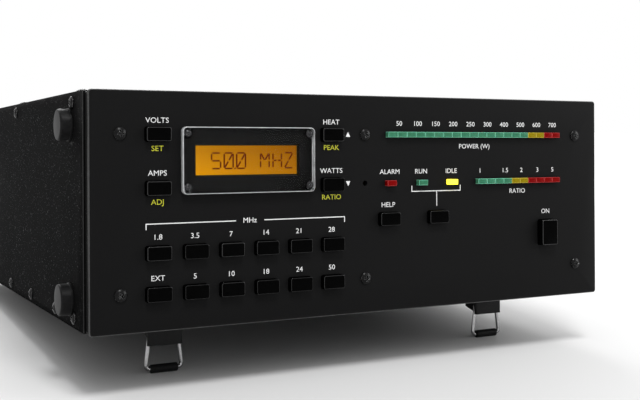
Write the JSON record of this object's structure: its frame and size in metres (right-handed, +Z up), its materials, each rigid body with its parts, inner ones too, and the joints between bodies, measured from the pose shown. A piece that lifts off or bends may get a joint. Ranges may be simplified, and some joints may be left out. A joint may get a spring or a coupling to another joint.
{
  "type": "hf linear amplifier",
  "caption": "desktop radio frequency power amplifier with push buttons, LED bar meters, a small display, tilt bails and a rear fan",
  "frame": {"origin": "middle of the footprint on the surface that the feet and bails stand on", "axes": "+X to the right seen from the front, +Y to the rear, +Z up"},
  "size_m": [0.2898, 0.3116, 0.1294],
  "materials": {
    "panel_black": "fine textured powder coat",
    "frame_grey": "fine textured powder coat",
    "case_grey": "textured powder coat",
    "board": "green solder mask",
    "screw_black": "black oxide",
    "window_clear": "clear polished plastic",
    "lcd_amber": "backlit amber",
    "switch_dark": "moulded",
    "led_green": "diffused green",
    "led_yellow": "diffused yellow",
    "led_red": "diffused red",
    "button_black": "smooth moulded",
    "block_alloy": "milled",
    "rubber_dark": "moulded",
    "bracket_plastic": "moulded",
    "wire_steel": "bright plated",
    "strap_vinyl": "grained",
    "cap_plastic": "moulded",
    "fan_plastic": "moulded",
    "guard_wire": "bright plated",
    "nickel": "nickel plated",
    "inlet_plastic": "moulded",
    "brass": "turned",
    "transformer": "taped copper winding on a steel core",
    "capacitor": "sleeved can",
    "sink_alloy": "extruded"
  },
  "bodies": {
    "case": {"front_panel": "panel_black", "front_frame": "frame_grey", "front_board": "board", "front_screws": "screw_black", "display_window": "window_clear", "lcd_module": "lcd_amber", "tact_switches": "switch_dark", "green_leds": "led_green", "yellow_leds": "led_yellow", "red_leds": "led_red", "bottom_panel": "case_grey", "left_side_panel": "case_grey", "right_side_panel": "case_grey", "rear_panel": "panel_black", "top_cover": "case_grey", "corner_blocks": "block_alloy", "case_screws": "screw_black", "side_feet": "rubber_dark", "bail_brackets": "bracket_plastic", "rear_feet": "rubber_dark", "strap_handle": "strap_vinyl", "handle_end_caps": "cap_plastic", "fan_frame": "fan_plastic", "fan_guard": "guard_wire", "rf_connectors": "nickel", "data_connectors": "nickel", "power_inlet": "inlet_plastic", "switch_frame": "inlet_plastic", "ground_post": "brass", "power_transformer": "transformer", "supply_board": "board", "filter_capacitors": "capacitor", "heat_sink": "sink_alloy", "rf_board": "board", "filter_board": "board"},
    "help_button": {"help_button": "button_black"},
    "operate_button": {"operate_button": "button_black"},
    "volts_button": {"volts_button": "button_black"},
    "amps_button": {"amps_button": "button_black"},
    "heat_button": {"heat_button": "button_black"},
    "watts_button": {"watts_button": "button_black"},
    "band_button_1": {"band_button_1": "button_black"},
    "band_button_2": {"band_button_2": "button_black"},
    "band_button_3": {"band_button_3": "button_black"},
    "band_button_4": {"band_button_4": "button_black"},
    "band_button_5": {"band_button_5": "button_black"},
    "band_button_6": {"band_button_6": "button_black"},
    "band_button_7": {"band_button_7": "button_black"},
    "band_button_8": {"band_button_8": "button_black"},
    "band_button_9": {"band_button_9": "button_black"},
    "band_button_10": {"band_button_10": "button_black"},
    "band_button_11": {"band_button_11": "button_black"},
    "band_button_12": {"band_button_12": "button_black"},
    "on_button": {"on_button": "button_black"},
    "left_bail": {"left_bail": "wire_steel"},
    "right_bail": {"right_bail": "wire_steel"},
    "fan_rotor": {"fan_rotor": "fan_plastic"},
    "fuse_drawer": {"fuse_drawer": "inlet_plastic"},
    "power_rocker": {"power_rocker": "inlet_plastic"},
    "ground_wing_nut": {"ground_wing_nut": "nickel"}
  },
  "joints": [
    {"name": "help_press", "type": "slide", "parent": "case", "child": "help_button", "axis": [0, 0.9982, -0.0608], "range_m": [0, 0.0007], "stiffness_N_per_m": 600, "springref_m": -0.001},
    {"name": "operate_press", "type": "slide", "parent": "case", "child": "operate_button", "axis": [0, 0.9982, -0.0608], "range_m": [0, 0.0007], "stiffness_N_per_m": 600, "springref_m": -0.001},
    {"name": "volts_press", "type": "slide", "parent": "case", "child": "volts_button", "axis": [0, 0.9982, -0.0608], "range_m": [0, 0.0007], "stiffness_N_per_m": 600, "springref_m": -0.001},
    {"name": "amps_press", "type": "slide", "parent": "case", "child": "amps_button", "axis": [0, 0.9982, -0.0608], "range_m": [0, 0.0007], "stiffness_N_per_m": 600, "springref_m": -0.001},
    {"name": "heat_press", "type": "slide", "parent": "case", "child": "heat_button", "axis": [0, 0.9982, -0.0608], "range_m": [0, 0.0007], "stiffness_N_per_m": 600, "springref_m": -0.001},
    {"name": "watts_press", "type": "slide", "parent": "case", "child": "watts_button", "axis": [0, 0.9982, -0.0608], "range_m": [0, 0.0007], "stiffness_N_per_m": 600, "springref_m": -0.001},
    {"name": "band_1_press", "type": "slide", "parent": "case", "child": "band_button_1", "axis": [0, 0.9982, -0.0608], "range_m": [0, 0.0007], "stiffness_N_per_m": 600, "springref_m": -0.001},
    {"name": "band_2_press", "type": "slide", "parent": "case", "child": "band_button_2", "axis": [0, 0.9982, -0.0608], "range_m": [0, 0.0007], "stiffness_N_per_m": 600, "springref_m": -0.001},
    {"name": "band_3_press", "type": "slide", "parent": "case", "child": "band_button_3", "axis": [0, 0.9982, -0.0608], "range_m": [0, 0.0007], "stiffness_N_per_m": 600, "springref_m": -0.001},
    {"name": "band_4_press", "type": "slide", "parent": "case", "child": "band_button_4", "axis": [0, 0.9982, -0.0608], "range_m": [0, 0.0007], "stiffness_N_per_m": 600, "springref_m": -0.001},
    {"name": "band_5_press", "type": "slide", "parent": "case", "child": "band_button_5", "axis": [0, 0.9982, -0.0608], "range_m": [0, 0.0007], "stiffness_N_per_m": 600, "springref_m": -0.001},
    {"name": "band_6_press", "type": "slide", "parent": "case", "child": "band_button_6", "axis": [0, 0.9982, -0.0608], "range_m": [0, 0.0007], "stiffness_N_per_m": 600, "springref_m": -0.001},
    {"name": "band_7_press", "type": "slide", "parent": "case", "child": "band_button_7", "axis": [0, 0.9982, -0.0608], "range_m": [0, 0.0007], "stiffness_N_per_m": 600, "springref_m": -0.001},
    {"name": "band_8_press", "type": "slide", "parent": "case", "child": "band_button_8", "axis": [0, 0.9982, -0.0608], "range_m": [0, 0.0007], "stiffness_N_per_m": 600, "springref_m": -0.001},
    {"name": "band_9_press", "type": "slide", "parent": "case", "child": "band_button_9", "axis": [0, 0.9982, -0.0608], "range_m": [0, 0.0007], "stiffness_N_per_m": 600, "springref_m": -0.001},
    {"name": "band_10_press", "type": "slide", "parent": "case", "child": "band_button_10", "axis": [0, 0.9982, -0.0608], "range_m": [0, 0.0007], "stiffness_N_per_m": 600, "springref_m": -0.001},
    {"name": "band_11_press", "type": "slide", "parent": "case", "child": "band_button_11", "axis": [0, 0.9982, -0.0608], "range_m": [0, 0.0007], "stiffness_N_per_m": 600, "springref_m": -0.001},
    {"name": "band_12_press", "type": "slide", "parent": "case", "child": "band_button_12", "axis": [0, 0.9982, -0.0608], "range_m": [0, 0.0007], "stiffness_N_per_m": 600, "springref_m": -0.001},
    {"name": "on_press", "type": "slide", "parent": "case", "child": "on_button", "axis": [0, 0.9982, -0.0608], "range_m": [0, 0.0012], "stiffness_N_per_m": 500, "springref_m": -0.001},
    {"name": "left_bail_fold", "type": "hinge", "parent": "case", "child": "left_bail", "pos_m": [-0.0952, -0.11651, 0.01817], "axis": [1, 0, 0], "range_deg": [0, 90]},
    {"name": "right_bail_fold", "type": "hinge", "parent": "case", "child": "right_bail", "pos_m": [0.088, -0.11651, 0.01817], "axis": [1, 0, 0], "range_deg": [0, 90]},
    {"name": "fan_spin", "type": "hinge", "parent": "case", "child": "fan_rotor", "pos_m": [0.0664, 0.12709, 0.06174], "axis": [0, 0.9982, -0.0608], "continuous": true},
    {"name": "fuse_drawer_slide", "type": "slide", "parent": "case", "child": "fuse_drawer", "axis": [0, 0.9982, -0.0608], "range_m": [0, 0.012]},
    {"name": "rocker_tilt", "type": "hinge", "parent": "case", "child": "power_rocker", "pos_m": [-0.0576, 0.13631, 0.04034], "axis": [1, 0, 0], "range_deg": [-18, 0]},
    {"name": "wing_nut_turn", "type": "hinge", "parent": "case", "child": "ground_wing_nut", "pos_m": [-0.0296, 0.14567, 0.03777], "axis": [0, 0.9982, -0.0608], "continuous": true}
  ]
}
